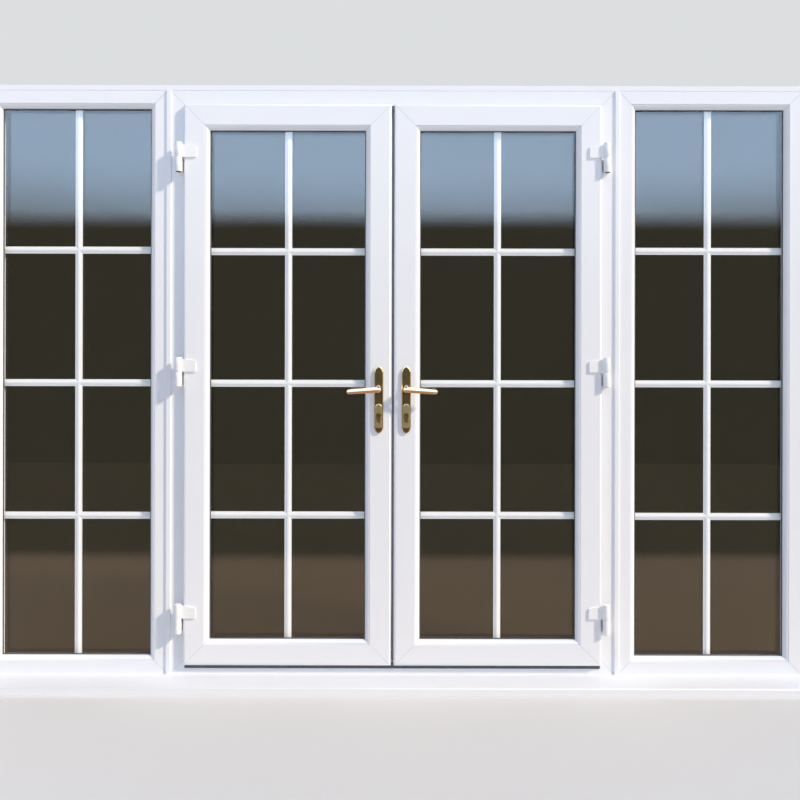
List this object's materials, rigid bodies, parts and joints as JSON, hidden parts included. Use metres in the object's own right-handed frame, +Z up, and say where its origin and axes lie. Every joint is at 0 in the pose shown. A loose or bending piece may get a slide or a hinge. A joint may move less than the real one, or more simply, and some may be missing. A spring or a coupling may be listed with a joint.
{
  "type": "french doors",
  "caption": "Pair of white outward opening glazed french doors with georgian bars and lever handles, in a frame with a fixed sidelight each side and a projecting sill.",
  "frame": {"origin": "middle of the pair, on the outer face of the frames, on the underside of the sill", "axes": "+X along the wall towards the right leaf, seen from outside; +Y into the room; +Z up"},
  "size_m": [2.946, 0.209, 2.15],
  "materials": {
    "white_upvc": "satin",
    "white_georgian_bar": "satin",
    "white_hinge": "satin",
    "glass": "clear",
    "rubber_seal": "matt",
    "polished_brass": "polished",
    "brass_cylinder": "satin",
    "plated_steel": "satin"
  },
  "bodies": {
    "frame": {"cill": "white_upvc", "cill_end_caps": "white_upvc", "coupler_bars": "white_upvc", "door_frame": "white_upvc", "door_threshold": "white_upvc", "frame_seal": "rubber_seal", "head_extension": "white_upvc", "left_hinge_brackets": "white_hinge", "left_hinge_pins": "plated_steel", "left_sidelight_bar_grid": "white_georgian_bar", "left_sidelight_beads": "white_upvc", "left_sidelight_frame": "white_upvc", "left_sidelight_gasket": "rubber_seal", "left_sidelight_inner_pane": "glass", "left_sidelight_outer_pane": "glass", "right_hinge_brackets": "white_hinge", "right_hinge_pins": "plated_steel", "right_sidelight_bar_grid": "white_georgian_bar", "right_sidelight_beads": "white_upvc", "right_sidelight_frame": "white_upvc", "right_sidelight_gasket": "rubber_seal", "right_sidelight_inner_pane": "glass", "right_sidelight_outer_pane": "glass", "shootbolt_keeps": "plated_steel"},
    "left_leaf": {"left_hinge_flags": "white_hinge", "left_inner_backplate": "polished_brass", "left_key_cylinder": "brass_cylinder", "left_leaf_bar_grid": "white_georgian_bar", "left_leaf_beads": "white_upvc", "left_leaf_gasket": "rubber_seal", "left_leaf_inner_pane": "glass", "left_leaf_outer_pane": "glass", "left_lock_strip": "plated_steel", "left_outer_backplate": "polished_brass", "left_sash": "white_upvc"},
    "right_leaf": {"floating_mullion": "white_upvc", "meeting_seal": "rubber_seal", "mullion_keep": "plated_steel", "right_hinge_flags": "white_hinge", "right_inner_backplate": "polished_brass", "right_key_cylinder": "brass_cylinder", "right_leaf_bar_grid": "white_georgian_bar", "right_leaf_beads": "white_upvc", "right_leaf_gasket": "rubber_seal", "right_leaf_inner_pane": "glass", "right_leaf_outer_pane": "glass", "right_lock_strip": "plated_steel", "right_outer_backplate": "polished_brass", "right_sash": "white_upvc"},
    "left_lever": {"left_inner_lever": "polished_brass", "left_outer_lever": "polished_brass", "left_spindle": "plated_steel"},
    "right_lever": {"right_inner_lever": "polished_brass", "right_outer_lever": "polished_brass", "right_spindle": "plated_steel"},
    "latch": {"latch": "plated_steel"},
    "locking_bar": {"locking_bar": "plated_steel"},
    "top_shootbolt": {"top_shootbolt": "plated_steel"},
    "bottom_shootbolt": {"bottom_shootbolt": "plated_steel"}
  },
  "joints": [
    {"name": "left_leaf_swing", "type": "hinge", "parent": "frame", "child": "left_leaf", "pos_m": [-0.762, -0.032, 1], "axis": [0, 0, -1], "range_deg": [0, 110]},
    {"name": "right_leaf_swing", "type": "hinge", "parent": "frame", "child": "right_leaf", "pos_m": [0.762, -0.032, 1], "axis": [0, 0, 1], "range_deg": [0, 110]},
    {"name": "left_lever_turn", "type": "hinge", "parent": "left_leaf", "child": "left_lever", "pos_m": [-0.049, -0.024, 1.059], "axis": [0, -1, 0], "range_deg": [-35, 40], "stiffness_Nm_per_rad": 1.2},
    {"name": "right_lever_turn", "type": "hinge", "parent": "right_leaf", "child": "right_lever", "pos_m": [0.049, -0.024, 1.059], "axis": [0, 1, 0], "range_deg": [-35, 40], "stiffness_Nm_per_rad": 1.2},
    {"name": "latch_slide", "type": "slide", "parent": "left_leaf", "child": "latch", "axis": [-1, 0, 0], "range_m": [-0.01052, 0.01202]},
    {"name": "locking_bar_slide", "type": "slide", "parent": "left_leaf", "child": "locking_bar", "axis": [0, 0, 1], "range_m": [-0.02059, 0.01802]},
    {"name": "top_shootbolt_slide", "type": "slide", "parent": "right_leaf", "child": "top_shootbolt", "axis": [0, 0, 1], "range_m": [-0.02288, 0.02002]},
    {"name": "bottom_shootbolt_slide", "type": "slide", "parent": "right_leaf", "child": "bottom_shootbolt", "axis": [0, 0, -1], "range_m": [-0.02288, 0.02002]}
  ],
  "couplings": [
    {"joint": "latch_slide", "follows": "left_lever_turn", "m_per_rad": 0.017189},
    {"joint": "locking_bar_slide", "follows": "left_lever_turn", "m_per_rad": -0.029466},
    {"joint": "top_shootbolt_slide", "follows": "right_lever_turn", "m_per_rad": -0.03274},
    {"joint": "bottom_shootbolt_slide", "follows": "right_lever_turn", "m_per_rad": -0.03274}
  ]
}
